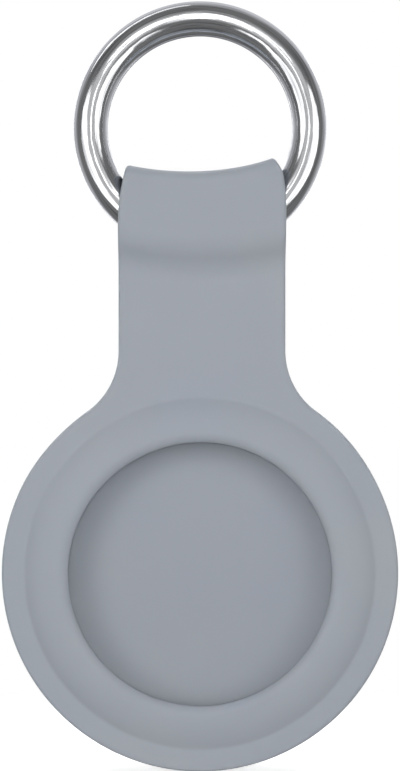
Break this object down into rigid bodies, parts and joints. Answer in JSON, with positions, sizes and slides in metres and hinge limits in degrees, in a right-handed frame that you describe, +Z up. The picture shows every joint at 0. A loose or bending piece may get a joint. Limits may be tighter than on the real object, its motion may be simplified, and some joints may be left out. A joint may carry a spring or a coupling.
{
  "type": "tracker tag holder",
  "caption": "Soft silicone holder for a round tracker tag: a lipped pocket with a brim, and a strap whose moulded loop carries a plated split key ring.",
  "frame": {"origin": "on the axis of the round tag pocket, in the middle of the strap's thickness", "axes": "+Z up the strap towards the key ring, -Y out of the pocket's mouth (the front), +X to the right seen from the front"},
  "size_m": [0.04, 0.0091, 0.0778],
  "materials": {
    "silicone": "matt moulded silicone rubber, mid grey with a cool cast",
    "plated_wire": "bright plated spring steel"
  },
  "bodies": {
    "holder": {"silicone_holder": "silicone"},
    "key_ring": {"split_ring": "plated_wire"}
  },
  "joints": [
    {"name": "ring_turn", "type": "hinge", "parent": "holder", "child": "key_ring", "pos_m": [0, 0, 0.045], "axis": [0, 1, 0], "continuous": true}
  ]
}
